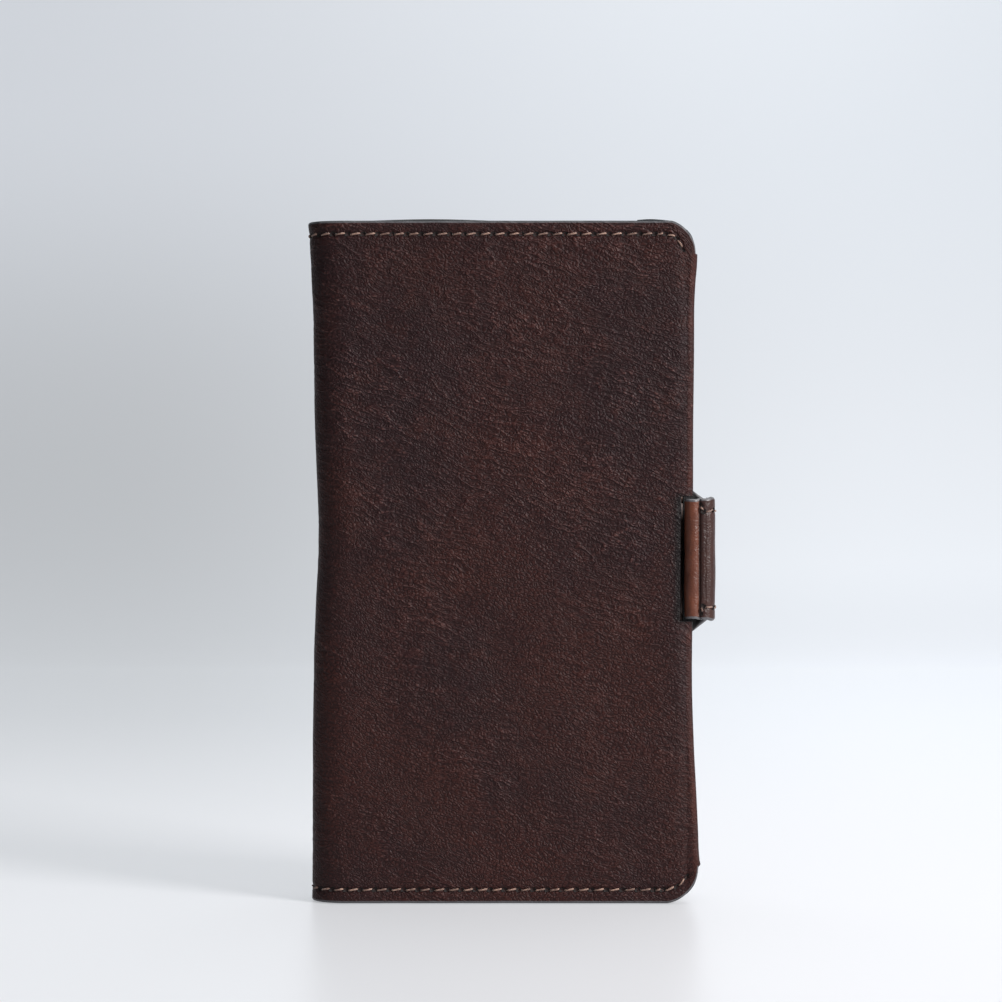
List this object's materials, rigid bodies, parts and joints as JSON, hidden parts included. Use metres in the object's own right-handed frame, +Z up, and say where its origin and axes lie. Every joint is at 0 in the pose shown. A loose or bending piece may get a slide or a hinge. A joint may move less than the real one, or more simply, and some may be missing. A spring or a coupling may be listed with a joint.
{
  "type": "phone wallet case",
  "caption": "Folding leather wallet case that holds a phone in a tray, with card pockets and a magnetic wrap-round strap.",
  "frame": {"origin": "under the middle of the closed case, strap included, on the bottom edges that it stands on", "axes": "+Z up the height of the case, +X from the spine to the opening edge, the front cover faces -Y"},
  "size_m": [0.0993, 0.0182, 0.166],
  "materials": {
    "outer_leather": "oiled pull-up leather, dark reddish brown, wrinkled grain",
    "strap_leather": "the same hide, rubbed lighter and more orange",
    "lining_leather": "smooth dark brown lining leather",
    "pocket_leather": "thin smooth brown leather",
    "black_leather": "black lining leather, matte",
    "fibre_board": "bonded leather fibre board",
    "steel": "thin spring steel strip",
    "magnet": "nickel plated bar magnet",
    "adhesive": "acrylic foam tape",
    "tray_plastic": "moulded black plastic, fine satin texture",
    "thread": "waxed braided thread, tan pink"
  },
  "bodies": {
    "back": {"back_cover_leather": "outer_leather", "back_lining": "lining_leather", "back_board": "fibre_board", "tray_adhesive": "adhesive", "phone_tray": "tray_plastic", "back_top_seam": "thread", "back_bottom_seam": "thread", "camera_window_seam": "thread", "strap_root_lining": "black_leather", "strap_root_seam": "thread"},
    "spine": {"spine_leather": "outer_leather", "spine_lining": "lining_leather", "spine_top_seam": "thread", "spine_bottom_seam": "thread"},
    "front_cover": {"front_cover_leather": "outer_leather", "front_lining": "lining_leather", "front_board": "fibre_board", "catch_plate": "steel", "cash_pocket_panel": "pocket_leather", "card_pocket_back": "pocket_leather", "card_pocket_middle": "pocket_leather", "card_pocket_front": "pocket_leather", "front_top_seam": "thread", "front_bottom_seam": "thread", "pocket_divider_seam": "thread"},
    "strap": {"strap_leather": "strap_leather", "strap_lining": "black_leather", "strap_seam": "thread"},
    "strap_end": {"strap_end_leather": "strap_leather", "strap_end_lining": "black_leather", "strap_magnet": "magnet", "strap_end_seam": "thread"}
  },
  "joints": [
    {"name": "spine_back_fold", "type": "hinge", "parent": "back", "child": "spine", "pos_m": [-0.04753, 0.00678, 0.083], "axis": [0, 0, -1], "range_deg": [0, 90]},
    {"name": "spine_front_fold", "type": "hinge", "parent": "spine", "child": "front_cover", "pos_m": [-0.04753, -0.00678, 0.083], "axis": [0, 0, -1], "range_deg": [0, 90]},
    {"name": "strap_root_bend", "type": "hinge", "parent": "back", "child": "strap", "pos_m": [0.04811, 0.00736, 0.0837], "axis": [0, 0, 1], "range_deg": [0, 90]},
    {"name": "strap_front_bend", "type": "hinge", "parent": "strap", "child": "strap_end", "pos_m": [0.04829, -0.00804, 0.0837], "axis": [0, 0, 1], "range_deg": [0, 90]}
  ]
}
